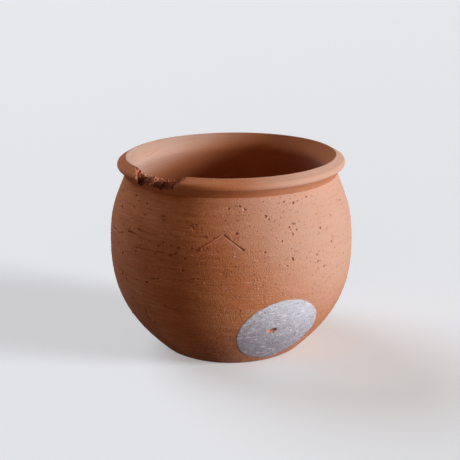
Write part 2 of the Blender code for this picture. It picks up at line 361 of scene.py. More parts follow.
# %% Mix the silver paint
BRUSH_LENGTH, BRUSH_HEIGHT = 3.5 * MM, 0.5 * MM
GLINT_LENGTH, GLINT_HEIGHT = 2.6 * MM, 0.8 * MM
FLAKES_PER_METRE = 1500.0
PAINTED_LIGHT_SIDE = (0.3, 0.0, 1.0)
PAINTED_LIGHT_RANGE = (8.0 * MM, 46.0 * MM)
PAINTED_LIGHT_SHARE = 0.24
SILVER_TONES = (0.30, 0.70)
GLINT_TONES = (0.60, 0.70)
GLINT_SHARE = 0.8
BRUSH_BUMP = 0.25 * MM
DARK_SILVER, PALE_SILVER, PAINTED_GLINT = (0.33, 0.285, 0.33), (0.70, 0.685, 0.73), (0.86, 0.85, 0.88)

silver_paint, tree, shader = new_material("silver_paint")
place = add(tree, "ShaderNodeTexCoord").outputs["Object"]
brush = cloudy(tree, stretched(tree, place, BRUSH_LENGTH, BRUSH_HEIGHT), 1.0, 3.0, 0.6)
flakes = cloudy(tree, place, FLAKES_PER_METRE)
# Painted light: the coat turns paler towards its upper edge.
painted_top_light = fade(tree, dot(tree, place, PAINTED_LIGHT_SIDE), *PAINTED_LIGHT_RANGE)
mark = calc(tree, "MULTIPLY_ADD", brush, 0.5, calc(tree, "MULTIPLY", flakes, 0.5))
tone = calc(tree, "MULTIPLY_ADD", painted_top_light, PAINTED_LIGHT_SHARE, calc(tree, "SUBTRACT", mark, 0.5 * PAINTED_LIGHT_SHARE))
colour = blend(tree, fade(tree, tone, *SILVER_TONES), DARK_SILVER, PALE_SILVER)
# Painted highlights: short bright glints blended into the base colour.
painted_glints = cloudy(tree, stretched(tree, place, GLINT_LENGTH, GLINT_HEIGHT), 1.0, 1.0)
bright = calc(tree, "MULTIPLY", fade(tree, painted_glints, *GLINT_TONES), GLINT_SHARE)
bumps = add(tree, "ShaderNodeBump", {"Strength": 1.0, "Distance": BRUSH_BUMP, "Height": mark})
wire(tree, shader, {
    "Base Color": blend(tree, bright, colour, PAINTED_GLINT),
    "Roughness": calc(tree, "MULTIPLY_ADD", mark, -0.3, 0.75),
    "Normal": bumps.outputs[0], "Metallic": 0.15, "Specular IOR Level": 0.2})
print("silver paint has", len(tree.nodes), "nodes")

# %% [markdown]
# ## The sections of wall, rim and floor
# A potter thinks in sections: half a cut through the pot. Each point of a section is a radius, a height
# and a relief, which says how rough the clay is there: 1 on the dragged and pitted outside, a little
# inside, and 0 where two pieces touch.

# %% Section helpers


def aim(point, length, degrees):
    """The point a length away from another, at an angle above the outward direction."""
    angle = math.radians(degrees)
    return (point[0] + length * math.cos(angle), point[1] + length * math.sin(angle))


def sweep(start, start_handle, end_handle, end, step, relief):
    """Points along one Bezier span, about a step apart, ends included."""
    span = [Vector((r, z, 0.0)) for r, z in (start, start_handle, end_handle, end)]
    length = sum((b - a).length for a, b in zip(span, span[1:]))
    count = max(int(length / step), 2)
    return [(p.x, p.y, relief) for p in interpolate_bezier(*span, count)]


def round_off(centre, radius, first, last, count, relief):
    """Points on an arc between two angles, counted from the outward direction."""
    angles = [first + (last - first) * i / (count - 1) for i in range(count)]
    return [(*aim(centre, radius, angle), relief) for angle in angles]


def scored(height, lines, width):
    """How much of a fine scored line is at a height: 1 in a line's middle, and 0 well away from it."""
    return sum(math.exp(-((height - line) / width) ** 2) for line in lines)


def section_curve(name, points):
    """A closed section as a curve: radius across, height up, and the relief kept as its width."""
    shape = bpy.data.curves.new(name, "CURVE")
    shape.dimensions = "3D"
    spline = shape.splines.new("POLY")
    spline.points.add(len(points) - 1)
    for knot, (r, z, relief) in zip(spline.points, points):
        knot.co = (r, z, 0.0, 1.0)
        knot.radius = relief
    spline.use_cyclic_u = True
    print(name, "has", len(points), "points")
    return put_in(name, shape)


print("section helpers ready: aim, sweep, round_off, scored, section_curve")

# %% [markdown]
# ### The wall
# The outside falls from the shoulder to the foot in two Bezier spans that meet at the belly, a hair inside
# the solid, which leaves room for burrs. The points stand close enough there to hold drag marks, and the
# relief fades out at the shoulder and the foot. Two fine lines are scored round the shoulder, as the tool
# left them. The inside is smoother, so its points are further apart, and the lip is rounded over.

# %% Draw the outside of the wall
SHOULDER_RADIUS = 47.75 * MM
SHOULDER_SLOPE = -70.0
BELLY_HEIGHT = 46.9 * MM
FOOT_RADIUS = 31.7 * MM
FOOT_SLOPE = 43.6
SHOULDER_HANDLE = 13.1 * MM
BELLY_HANDLE_UP = 17.9 * MM
BELLY_HANDLE_DOWN = 24.1 * MM
FOOT_HANDLE = 16.4 * MM
BURR_ROOM = 0.25 * MM
OUTSIDE_STEP = 0.75 * MM
SCORED_LINES = (76.9 * MM, 75.1 * MM)
SCORE_WIDTH = 0.4 * MM
SCORE_DEPTH = 0.14 * MM
RELIEF_FADE = 2.0 * MM
LEAST_RELIEF = 0.05

shoulder = (SHOULDER_RADIUS, SEAT)
belly = (BELLY_RADIUS - BURR_ROOM, BELLY_HEIGHT)
foot = (FOOT_RADIUS, 0.0)
above_belly = (belly[0], BELLY_HEIGHT + BELLY_HANDLE_UP)
below_belly = (belly[0], BELLY_HEIGHT - BELLY_HANDLE_DOWN)
below_shoulder = aim(shoulder, SHOULDER_HANDLE, SHOULDER_SLOPE)
outside = sweep(shoulder, below_shoulder, above_belly, belly, OUTSIDE_STEP, 1.0)
outside += sweep(belly, below_belly, aim(foot, FOOT_HANDLE, FOOT_SLOPE), foot, OUTSIDE_STEP, 1.0)[1:]
outside = [
    (r - SCORE_DEPTH * scored(z, SCORED_LINES, SCORE_WIDTH), z,
     max(min((SEAT - z) / RELIEF_FADE, z / RELIEF_FADE, 1.0), LEAST_RELIEF))
    for r, z, _ in outside if 0.6 * MM < z < SEAT - 0.35 * MM]
print("outside has", len(outside), "points")

# %% Draw the inside and close the wall's section
FOOT_RING_INNER = 25.5 * MM
WALL_THICKNESS = 5.2 * MM
NECK_INNER_RADIUS = 43.0 * MM
LIP_RADIUS = 47.3 * MM
LIP_ROUND = 0.7 * MM
LIP_SLOPE = 51.0
FACE_ANGLE = 61.0
TONGUE_FOOT_RADIUS = 44.6 * MM
CORNER_SLOPE = 40.0
CORNER_HANDLE = 13.0 * MM
INNER_HANDLE_DOWN = 20.0 * MM
INNER_HANDLE_UP = 15.0 * MM
NECK_HANDLE_DOWN = 10.0 * MM
NECK_HANDLE_UP = 3.5 * MM
LIP_HANDLE = 2.6 * MM
INSIDE_STEP = 2.4 * MM

corner = (FLOOR_RADIUS, FLOOR_TOP)
inner_belly = (BELLY_RADIUS - WALL_THICKNESS, BELLY_HEIGHT)
above_belly = (inner_belly[0], BELLY_HEIGHT + INNER_HANDLE_UP)
below_belly = (inner_belly[0], BELLY_HEIGHT - INNER_HANDLE_DOWN)
neck = (NECK_INNER_RADIUS, SEAT)
crown_centre = (LIP_RADIUS - 0.5 * LIP_ROUND, HEIGHT - LIP_ROUND)
lip_crown = round_off(crown_centre, LIP_ROUND, 90.0 + LIP_SLOPE, FACE_ANGLE, 7, 0.0)
lip = lip_crown[0][:2]
below_neck = aim(neck, NECK_HANDLE_DOWN, SHOULDER_SLOPE)
above_neck = aim(neck, -NECK_HANDLE_UP, SHOULDER_SLOPE)
below_lip = aim(lip, -LIP_HANDLE, LIP_SLOPE)
above_corner = aim(corner, CORNER_HANDLE, CORNER_SLOPE)
inside = sweep(corner, above_corner, below_belly, inner_belly, INSIDE_STEP, 0.3)
inside += sweep(inner_belly, above_belly, below_neck, neck, INSIDE_STEP * 0.6, 0.3)[1:]
inside += sweep(neck, above_neck, below_lip, lip, INSIDE_STEP * 0.25, 0.2)[1:-1]

tongue = [(TONGUE_FOOT_RADIUS, SEAT, 0.0), (SHOULDER_RADIUS - 0.5 * MM, SEAT, 0.0)]
edge_of_shoulder = [(SHOULDER_RADIUS - 0.18 * MM, SEAT - 0.08 * MM, 0.0)]
foot_ring = [(FOOT_RADIUS - 0.35 * MM, 0.2 * MM, 0.0), (FOOT_RADIUS - 0.9 * MM, 0.0, 0.0)]
foot_ring += [(FOOT_RING_INNER + 0.5 * MM, 0.0, 0.0), (FOOT_RING_INNER, 0.5 * MM, 0.0)]
pocket = [(FOOT_RING_INNER, FLOOR_LOW, 0.0), (FLOOR_RADIUS, FLOOR_LOW, 0.0)]
wall_section = section_curve(
    "wall_section", lip_crown + tongue + edge_of_shoulder + outside + foot_ring + pocket + inside)

# %% [markdown]
# ### The rim
# The rolled rim laps over the outside of the wall's top. From the lip its face slopes out to a bead,
# turns under and runs down in a cove to the shoulder, which makes the neck groove. Two fine lines run
# round the face. The rim touches the wall along the tongue and the ledge, so those faces are never seen.

# %% Draw the rim's section
BEAD_RADIUS = 1.9 * MM
BEAD_DROP = 3.2 * MM
BEAD_END = -50.0
NECK_RADIUS = 47.2 * MM
RIM_STEP = 0.22 * MM
FACE_LINES = (0.3, 0.92)
FACE_LINE = 0.12 * MM

bead_centre = (RIM_RADIUS - BEAD_RADIUS, HEIGHT - BEAD_DROP)
bead = round_off(bead_centre, BEAD_RADIUS, FACE_ANGLE, BEAD_END, 16, 0.5)
face_top = lip_crown[-1][:2]
face_end = bead[0][:2]


def down_face(share):
    """A point of the straight face, a share of the way down."""
    return tuple(a + (b - a) * share for a, b in zip(face_top, face_end))


face = sweep(face_top, down_face(0.33), down_face(0.67), face_end, RIM_STEP, 1.0)
line_heights = [down_face(share)[1] for share in FACE_LINES]
face = [(r, z - FACE_LINE * scored(z, line_heights, FACE_LINE), relief) for r, z, relief in face]
cove_top = bead[-1][:2]
cove_foot = (NECK_RADIUS, SEAT)
above_foot = (NECK_RADIUS + 0.6 * MM, SEAT + 1.1 * MM)
cove = sweep(cove_top, aim(cove_top, 1.3 * MM, BEAD_END - 90.0), above_foot, cove_foot, RIM_STEP, 0.5)
hug = [(NECK_RADIUS - 0.1 * MM, SEAT, 0.0), (TONGUE_FOOT_RADIUS, SEAT, 0.0)]
rim_section = section_curve("rim_section", face[:-1] + bead + cove[1:] + hug)

# %% [markdown]
# ### The floor
# The floor is a thick disc with a drain hole. A thumb run over it on the wheel leaves shallow rings, so
# its faces get relief and closely spaced points.

# %% Draw the floor's section
DRAIN_RADIUS = 6.0 * MM
FLOOR_EDGE = 0.8 * MM


def level_face(start, end, height, count, edge, relief):
    """Points on a level face between two radii, with the relief faded out over a few points at each end."""
    return [(start + (end - start) * i / count, height, relief * min(i, count - i, edge) / edge)
            for i in range(count + 1)]


hole_edge = DRAIN_RADIUS + FLOOR_EDGE
upper_face = level_face(FLOOR_RADIUS, hole_edge, FLOOR_TOP, 40, 6, 1.0)
under_face = level_face(hole_edge + 0.5 * FLOOR_EDGE, FLOOR_RADIUS, FLOOR_LOW, 30, 5, 0.3)
hole = round_off((hole_edge, FLOOR_TOP - FLOOR_EDGE), FLOOR_EDGE, 100.0, 180.0, 5, 0.0)
hole += round_off((hole_edge, FLOOR_LOW + FLOOR_EDGE), FLOOR_EDGE, 180.0, 270.0, 5, 0.0)
floor_section = section_curve("floor_section", upper_face + hole + under_face)

# %% [markdown]
# ## A tree that turns a section
# The Screw modifier could turn a section, but we also want fine rings and drag marks that follow the
# clay, so the wheel is a Geometry Nodes tree. It sweeps the section round a circle, and then pushes each
# point into the clay by its relief. Rings depend only on the way along the section. Drag marks come
# from noise that is stretched round the pot and squeezed in height. Both only cut inwards, so the pot
# never grows past its solid. Near the top the tree also moves the clay a third of a millimetre to the
# right, because the lip of this pot is not quite centred over its belly.

# %% Helpers for geometry trees


def stored(tree, geometry, name, value, **options):
    """Keep a value on the geometry under a name."""
    values = {"Geometry": geometry, "Name": name, "Value": value}
    return add(tree, "GeometryNodeStoreNamedAttribute", values, **options).outputs[0]


def marked(tree, geometry, name, faces):
    """Keep a yes or no for each face under a name."""
    return stored(tree, geometry, name, faces, data_type="BOOLEAN", domain="FACE")


def recalled(tree, name, kind="FLOAT"):
    """Read what is kept under a name."""
    return add(tree, "GeometryNodeInputNamedAttribute", {"Name": name}, data_type=kind).outputs["Attribute"]


def moved(tree, geometry, offset):
    """Move each point by its offset."""
    return add(tree, "GeometryNodeSetPosition", {"Geometry": geometry, "Offset": offset}).outputs[0]


def realized(tree, geometry):
    """Turn instances into faces of their own."""
    return add(tree, "GeometryNodeRealizeInstances", {"Geometry": geometry}).outputs[0]


def clad(tree, geometry, material, faces=True):
    """Give faces a material."""
    values = {"Geometry": geometry, "Selection": faces, "Material": material}
    return add(tree, "GeometryNodeSetMaterial", values).outputs[0]


def run_tree(thing, tree, values):
    """Put a tree on an object and set its inputs by their identifiers."""
    step = thing.modifiers.new(tree.name, "NODES")
    step.node_group = tree
    for item in tree.interface.items_tree:
        if item.in_out == "INPUT" and item.name in values:
            step[item.identifier] = values[item.name]


print("helpers ready: stored, marked, recalled, moved, realized, clad, run_tree")

# %% Build the wheel
AXLE = 10.0 * MM

wheel, given, out = new_tree("Turn a section", [
    ("Section", "Object", None),
    ("Sides", "Int", 180),
    ("Ring Spacing", "Float", 1.0 * MM),
    ("Ring Depth", "Float", 0.06 * MM),
    ("Drag Length", "Float", 14.0 * MM),
    ("Drag Height", "Float", 0.9 * MM),
    ("Drag Depth", "Float", 0.2 * MM),
    ("Lean", "Float", 0.35 * MM),
    ("Lean From", "Float", 68.0 * MM),
    ("Lean To", "Float", 86.0 * MM),
    ("Shift", "Float", 0.0),
    ("Clay", "Material", None),
], [("Geometry", "Geometry")])

section = add(wheel, "GeometryNodeObjectInfo", {"Object": given["Section"]}).outputs["Geometry"]
section = stored(wheel, section, "relief", add(wheel, "GeometryNodeInputRadius").outputs[0])
section = stored(wheel, section, "along", add(wheel, "GeometryNodeSplineParameter").outputs["Length"])
placed = add(wheel, "GeometryNodeTransform", {
    "Geometry": section, "Translation": (-AXLE, 0.0, 0.0), "Scale": (1.0, -1.0, 1.0)})
circle = add(wheel, "GeometryNodeCurvePrimitiveCircle", {"Resolution": given["Sides"], "Radius": AXLE})
upright = add(wheel, "GeometryNodeSetCurveNormal", {"Curve": circle.outputs["Curve"]}, mode="Z_UP")
turned = add(wheel, "GeometryNodeCurveToMesh", {
    "Curve": upright.outputs["Curve"], "Profile Curve": placed.outputs["Geometry"]})
print("the wheel turns a section")

# %% Mark the turned clay
RING_WANDER = 0.012
DRAGGED = (0.50, 0.70)

place = add(wheel, "GeometryNodeInputPosition").outputs[0]
split = add(wheel, "ShaderNodeSeparateXYZ", {"Vector": place}).outputs
slope = calc(wheel, "MULTIPLY_ADD", split["X"], RING_WANDER, recalled(wheel, "along"))
ring_at = calc(wheel, "ADD", calc(wheel, "DIVIDE", slope, given["Ring Spacing"]), given["Shift"])
rings = add(wheel, "ShaderNodeTexNoise", {"W": ring_at, "Scale": 1.0, "Detail": 2.0}, noise_dimensions="1D")
drag_at = stretched(wheel, place, given["Drag Length"], given["Drag Height"])
drags = cloudy(wheel, vector_calc(wheel, "ADD", drag_at, given["Shift"]), 1.0, 3.0, 0.6)
ring_depth = calc(wheel, "MULTIPLY", rings.outputs[0], given["Ring Depth"])
depth = calc(wheel, "MULTIPLY_ADD", fade(wheel, drags, *DRAGGED), given["Drag Depth"], ring_depth)
inward = calc(wheel, "MULTIPLY", calc(wheel, "MULTIPLY", depth, recalled(wheel, "relief")), -1.0)
normal = add(wheel, "GeometryNodeInputNormal").outputs[0]
push = vector_calc(wheel, "SCALE", normal, inward)
lean = calc(wheel, "MULTIPLY", fade(wheel, split["Z"], given["Lean From"], given["Lean To"]), given["Lean"])
worn = moved(wheel, turned.outputs["Mesh"], vector_calc(wheel, "ADD", push, xyz(wheel, lean)))
inner = calc(wheel, "LESS_THAN", dot(wheel, normal, xyz(wheel, split["X"], split["Y"])), 0.0)
faced = marked(wheel, realized(wheel, worn), "inner", inner)
feed(wheel, out["Geometry"], clad(wheel, faced, given["Clay"]))
print("wheel has", len(wheel.nodes), "nodes")

# %% [markdown]
# ### A tree that dresses the clay
# Skin, inside, neck, pits and break show one clay in different finishes. Cutting shuffles the finishes of
# a mesh, so no step relies on them. Each step only marks its faces by a name, and marks survive the
# cutting. A small tree at the very end reads the marks and gives every face its clay.

# %% Build the dressing tree
MARKS = {"inner": "Inner Clay", "pit": "Pit Clay", "broken": "Broken Clay"}

dressing, given, out = new_tree("Dress the clay", [
    ("Geometry", "Geometry", None),
    ("Clay", "Material", None),
    ("Lower Clay", "Material", None),
    ("Lower Below", "Float", -1.0),
] + [(label, "Material", None) for label in MARKS.values()], [("Geometry", "Geometry")])
place = add(dressing, "GeometryNodeInputPosition").outputs[0]
height = add(dressing, "ShaderNodeSeparateXYZ", {"Vector": place}).outputs["Z"]
chosen = [(True, "Clay"), (calc(dressing, "LESS_THAN", height, given["Lower Below"]), "Lower Clay")]
chosen += [(recalled(dressing, mark, "BOOLEAN"), label) for mark, label in MARKS.items()]
dressed = realized(dressing, given["Geometry"])
for faces, label in chosen:
    dressed = clad(dressing, dressed, given[label], faces)
feed(dressing, out["Geometry"], dressed)
print("dressing tree has", len(dressing.nodes), "nodes")

# %% [markdown]
# ## A tree that pits the clay
# Coarse clay tears open when it is trimmed. Grit that rolls under the tool leaves round pits, and grit
# that is dragged leaves short grooves, and both come in rows round the pot. Painting dark dots would be
# quicker, but real holes catch the light on their far side, which is what makes them read as pits. Their
# faces still get a darker finish, which paints shade into them. The tree scatters points where the
# relief is full, puts one of three lumpy stones on each, laid along the surface, and takes the stones out
# of the wall. The wheel turns one way, so the grit digs in at one end, and the clay that it pushed up
# stands as a burr at the other. Every stone is tilted alike. A stone has at most eighty faces and a burr
# only twelve, because there are hundreds.

# %% Scatter the grit
CROWDED_ROWS = (0.36, 0.62)
FULL_RELIEF = (0.85, 0.95)

pitting, given, out = new_tree("Pit the clay", [
    ("Geometry", "Geometry", None),
    ("Density", "Float", 30000.0),
    ("Spacing", "Float", 1.4 * MM),
    ("Row Length", "Float", 25.0 * MM),
    ("Row Height", "Float", 3.0 * MM),
    ("Smallest", "Float", 0.30 * MM),
    ("Largest", "Float", 0.70 * MM),
    ("Stretch", "Float", 1.2),
    ("Depth", "Float", 0.85),
    ("Tilt", "Float", -0.4),
    ("Burr", "Float", 0.5),
    ("Facets", "Int", 2),
    ("Seed", "Int", 1),
    ("Clay", "Material", None),
], [("Geometry", "Geometry")])
place = add(pitting, "GeometryNodeInputPosition").outputs[0]
row_at = stretched(pitting, place, given["Row Length"], given["Row Height"])
rows = fade(pitting, cloudy(pitting, vector_calc(pitting, "ADD", row_at, given["Seed"]), 1.0), *CROWDED_ROWS)
crowded = calc(pitting, "MULTIPLY", rows, fade(pitting, recalled(pitting, "relief"), *FULL_RELIEF))
dots = add(pitting, "GeometryNodeDistributePointsOnFaces", {
    "Mesh": given["Geometry"], "Distance Min": given["Spacing"], "Density Max": given["Density"],
    "Density Factor": crowded, "Seed": given["Seed"]}, distribute_method="POISSON")
grit_at = dots.outputs["Points"]
for mark in MARKS:
    grit_at = add(pitting, "GeometryNodeRemoveAttribute", {"Geometry": grit_at, "Name": mark}).outputs[0]
print("grit is scattered in rows")

# %% Shape the stones
STONE_SHAPES = 3
LUMPINESS = 1.4

stones = add(pitting, "GeometryNodeGeometryToInstance")
for number in range(STONE_SHAPES):
    ball = add(pitting, "GeometryNodeMeshIcoSphere", {"Radius": 1.0, "Subdivisions": given["Facets"]})
    lump_at = vector_calc(pitting, "ADD", place, (7.0 * number, 3.0, 5.0))
    lumps = add(pitting, "ShaderNodeTexNoise", {"Vector": lump_at, "Scale": 1.3, "Detail": 1.0})
    shove = vector_calc(pitting, "SUBTRACT", lumps.outputs["Color"], (0.5, 0.5, 0.5))
    stone = moved(pitting, ball.outputs["Mesh"], vector_calc(pitting, "SCALE", shove, LUMPINESS))
    pitting.links.new(stone, stones.inputs[0])
print("grit comes in", STONE_SHAPES, "shapes")

# %% Lay the stones
SMALL_ONES_RULE = 1.8


def chance(tree, low, high, seed):
    """A random number between two limits for each point."""
    return add(tree, "FunctionNodeRandomValue", {2: low, 3: high, "Seed": seed}).outputs[1]


def turn_to(tree, outward, sideways):
    """A turn that points Z outwards and X sideways."""
    values = {"Primary Axis": outward, "Secondary Axis": sideways}
    node = add(tree, "FunctionNodeAxesToRotation", values, primary_axis="Z", secondary_axis="X")
    return node.outputs[0]


outward = dots.outputs["Normal"]
sideways = vector_calc(pitting, "CROSS_PRODUCT", (0.0, 0.0, 1.0), outward)
slope = xyz(pitting, z=chance(pitting, -0.25, 0.25, 11))
tipped = vector_calc(pitting, "ADD", outward, vector_calc(pitting, "SCALE", sideways, given["Tilt"]))
laid = turn_to(pitting, tipped, vector_calc(pitting, "ADD", sideways, slope))
luck = calc(pitting, "POWER", chance(pitting, 0.0, 1.0, 12), SMALL_ONES_RULE)
span = calc(pitting, "SUBTRACT", given["Largest"], given["Smallest"])
size = calc(pitting, "MULTIPLY_ADD", luck, span, given["Smallest"])
long_side = calc(pitting, "MULTIPLY", size, given["Stretch"])
long_side = calc(pitting, "MULTIPLY", long_side, chance(pitting, 0.6, 1.6, 13))
bulk = xyz(pitting, long_side, size, calc(pitting, "MULTIPLY", size, given["Depth"]))
pick_values = {4: 0, 5: STONE_SHAPES - 1, "Seed": 14}
pick = add(pitting, "FunctionNodeRandomValue", pick_values, data_type="INT").outputs[2]
grit = add(pitting, "GeometryNodeInstanceOnPoints", {
    "Points": grit_at, "Instance": stones.outputs[0], "Pick Instance": True,
    "Instance Index": pick, "Rotation": laid, "Scale": bulk})
loose = marked(pitting, realized(pitting, grit.outputs[0]), "pit", True)
print("stones are laid")

# %% Raise the burrs and take the stones out


def combined(tree, operation, parts, base=None):
    """Solids joined or crossed, or taken out of a base."""
    node = add(tree, "GeometryNodeMeshBoolean", operation=operation, solver="MANIFOLD")
    if base is not None:
        feed(tree, node.inputs["Mesh 1"], base)
    for part in parts:
        tree.links.new(part, node.inputs["Mesh 2"])
    return node.outputs["Mesh"]


left = vector_calc(pitting, "SCALE", sideways, calc(pitting, "MULTIPLY", long_side, -1.05))
low = xyz(pitting, calc(pitting, "MULTIPLY", size, 0.8), size, calc(pitting, "MULTIPLY", size, given["Burr"]))
drop = add(pitting, "GeometryNodeMeshUVSphere", {"Radius": 1.0, "Segments": 6, "Rings": 2})
burrs = add(pitting, "GeometryNodeInstanceOnPoints", {
    "Points": moved(pitting, grit_at, left), "Instance": drop.outputs["Mesh"],
    "Rotation": turn_to(pitting, outward, sideways), "Scale": low})
burred = combined(pitting, "UNION", (given["Geometry"], realized(pitting, burrs.outputs[0])))
pitted = realized(pitting, combined(pitting, "DIFFERENCE", (loose,), burred))
fired = clad(pitting, pitted, given["Clay"], recalled(pitting, "pit", "BOOLEAN"))
feed(pitting, out["Geometry"], fired)
print("pitting tree has", len(pitting.nodes), "nodes")

# %% [markdown]
# ## The chip in the rim
# A piece has broken out of the rim at the front left. The break falls from the inner edge of the lip
# down to the neck groove outside. Its left end is steep and crumbly, and its right end runs out in a
# shallow ramp. Two hollows are torn deeper, with a crumbly heap between. We model the lost piece itself:
# a block whose underside is the fracture, with fractal noise for the torn grit. Taking that one block
# away from both wall and rim makes the break run on through the two. The noise of mathutils starts from
# the clock, so it gets a seed before its first use.

# %% Shape the fracture
CHIP_LEFT = math.radians(-60.0)
CHIP_LEFT_SLANT = math.radians(4.5)
CHIP_LEFT_RAMP = math.radians(4.0)
CHIP_LEFT_JAG = math.radians(0.8)
CHIP_RIGHT = math.radians(-18.0)
CHIP_RIGHT_RAMP = math.radians(13.0)
CHIP_INNER_RADIUS = 45.4 * MM
CHIP_INNER_DEPTH = 3.1 * MM
CHIP_OUTER_DEPTH = 5.4 * MM
CHIP_MARGIN = 2.0 * MM
CHIP_STEP = 0.22 * MM
CHIP_SEED = 3
# The torn clay: how high each kind stands in millimetres, and how many there are to a millimetre.
BED_RISE, BED_COUNT = 0.7, 0.5
CRUMB_RISE, CRUMB_COUNT = 1.8, 0.7
GRIT_SIZE, GRIT_COUNT, FINE_GRIT_COUNT = 0.62 * MM, 0.95, 2.3
# Each hollow is an angle in degrees, a radius, a reach and a depth. A depth below 0 makes a heap.
CHIP_HOLLOWS = (
    (-52.5, 47.6 * MM, 2.5 * MM, 2.4 * MM),
    (-43.5, 47.9 * MM, 2.2 * MM, -1.2 * MM),
    (-36.0, 46.9 * MM, 2.2 * MM, 1.4 * MM),
)


def around(azimuth, radius, height):
    """A place by its angle from the front, positive to the right, with its radius and height."""
    return Vector((radius * math.sin(azimuth), -radius * math.cos(azimuth), height))


def ease(distance, length):
    """0 to 1 over a length, smoothed at both ends."""
    t = min(max(distance / length, 0.0), 1.0)
    return t * t * (3.0 - 2.0 * t)


def torn(spot):
    """How far torn clay stands up from the clean break: round crumbs on a rough bed, less the hollows."""
    bed = noise.fractal(spot / MM * BED_COUNT, 0.9, 2.0, 3)
    crumbs = 0.45 - noise.voronoi(spot / MM * CRUMB_COUNT)[0][0]
    hollow = 0.0
    for degrees, middle, reach, sink in CHIP_HOLLOWS:
        away = (spot - around(math.radians(degrees), middle, 0.0)).length
        hollow += sink * math.exp(-(away / reach) ** 2)
    return (BED_RISE * bed + CRUMB_RISE * crumbs) * MM - hollow


def fracture(azimuth, radius):
    """A point of the fracture, pushed about by the grit. Past both ends it rises above the lip."""
    spot = around(azimuth, radius, 0.0)
    across = (radius - CHIP_INNER_RADIUS) / (RIM_RADIUS - CHIP_INNER_RADIUS)
    depth = CHIP_INNER_DEPTH + (CHIP_OUTER_DEPTH - CHIP_INNER_DEPTH) * min(max(1.8 * across, 0.0), 1.0)
    bite = CHIP_LEFT + CHIP_LEFT_SLANT * ease(across - 0.3, 0.5)
    bite += CHIP_LEFT_JAG * noise.noise(spot / MM * 0.9)
    opened = min(ease(azimuth - bite, CHIP_LEFT_RAMP), ease(CHIP_RIGHT - azimuth, CHIP_RIGHT_RAMP))
    loose = min(1.0, 2.0 * opened)
    height = HEIGHT - depth * opened + CHIP_MARGIN * (1.0 - opened) + torn(spot) * loose
    place = spot + Vector((0, 0, height))
    grit = GRIT_SIZE * noise.noise_vector(place / MM * GRIT_COUNT)
    grit += 0.5 * GRIT_SIZE * noise.noise_vector(place / MM * FINE_GRIT_COUNT)
    return place + grit * loose


noise.seed_set(CHIP_SEED)
first_angle = CHIP_LEFT - math.radians(3.0)
columns = int((CHIP_RIGHT - first_angle) * RIM_RADIUS / CHIP_STEP)
near = NECK_INNER_RADIUS - CHIP_MARGIN
far = RIM_RADIUS + CHIP_MARGIN
lines = int((far - near) / CHIP_STEP)
print("fracture grid is", columns, "by", lines)

# %% Make the lost piece


def made_of(name, bm):
    """A new object from a bmesh, which is used up."""
    thing = put_in(name, bpy.data.meshes.new(name))
    bm.to_mesh(thing.data)
    bm.free()
    return thing


def guide(name, bm, mark):
    """A solid that only shapes others, faces outwards, and leaves its mark on the faces that it cuts."""
    if bm.calc_volume(signed=True) < 0.0:
        bmesh.ops.reverse_faces(bm, faces=bm.faces[:])
    thing = made_of(name, bm)
    if mark:
        marks = thing.data.attributes.new(mark, "BOOLEAN", "FACE").data
        marks.foreach_set("value", [True] * len(marks))
    return thing


bm = bmesh.new()
grid = []
angles = [first_angle + (CHIP_RIGHT - first_angle) * i / columns for i in range(columns + 1)]
for j in range(lines + 1):
    radius = near + (far - near) * j / lines
    grid.append([bm.verts.new(fracture(angle, radius)) for angle in angles])
for inner, outer in zip(grid, grid[1:]):
    for i in range(columns):
        bm.faces.new((inner[i], inner[i + 1], outer[i + 1], outer[i]))
raised = bmesh.ops.extrude_face_region(bm, geom=bm.faces[:])
for part in raised["geom"]:
    if isinstance(part, bmesh.types.BMVert):
        part.co.z = HEIGHT + 3.0 * CHIP_MARGIN
bmesh.ops.recalc_face_normals(bm, faces=bm.faces[:])
lost_piece = guide("lost_piece", bm, "broken")
print("lost piece has", len(lost_piece.data.polygons), "faces")

# %% [markdown]
# ## Marks made by hand
# Above the middle of the front a blade held aslant made a chevron. Its right stroke is pressed into the
# clay. On the left the blade pushed up a fine ridge with a blob at its end. A few scratches and plain pits
# are put in their own places. A stroke is a long wedge that follows the skin of the pot, taken out of the
# wall or joined on. We need to know that skin, so a helper looks up its radius and its outward direction
# at any height.

# %% Follow the skin
SKIN_REACH = 0.8 * MM


def skin_radius(height):
    """Radius of the outside at a height."""
    for (r1, z1, _), (r2, z2, _) in zip(outside, outside[1:]):
        if z2 <= height <= z1:
            return r1 + (r2 - r1) * (z1 - height) / max(z1 - z2, 1e-9)
    return outside[0][0]


def skin(azimuth, height):
    """A place on the outside, with the outward direction there."""
    growth = skin_radius(height - SKIN_REACH) - skin_radius(height + SKIN_REACH)
    slope = math.atan2(growth, 2.0 * SKIN_REACH)
    outward = around(azimuth, 1.0, 0.0) * math.cos(slope) + Vector((0, 0, math.sin(slope)))
    return around(azimuth, skin_radius(height), height), outward


print("skin at mid height", [round(c / MM, 2) for c in skin(0.0, BELLY_HEIGHT)[0]])

# %% Cut the strokes
STROKE_LIFT = 0.4 * MM
STROKE_STEPS = 24
STROKE_STRIDE = 0.01
# A stroke runs between two places, each an angle in degrees and a height in millimetres. Then come its
# half width and its depth in millimetres, and the slant of the blade. A depth below 0 is a ridge.
RIDGES = (((-4.4, 65.8), (-13.1, 60.3), 0.22, -0.2, 0.0),)
STROKES = (
    ((-3.5, 66.2), (5.4, 59.7), 0.55, 1.0, -0.6),
    ((-48.3, 56.2), (-30.3, 56.8), 0.35, 0.22, -0.3),
    ((-47.3, 63.8), (-34.6, 63.6), 0.35, 0.20, -0.3),
    ((-45.8, 28.6), (-46.3, 23.6), 0.45, 0.25, 0.0),
    ((-46.3, 23.8), (-44.0, 19.5), 0.45, 0.25, 0.0),
)


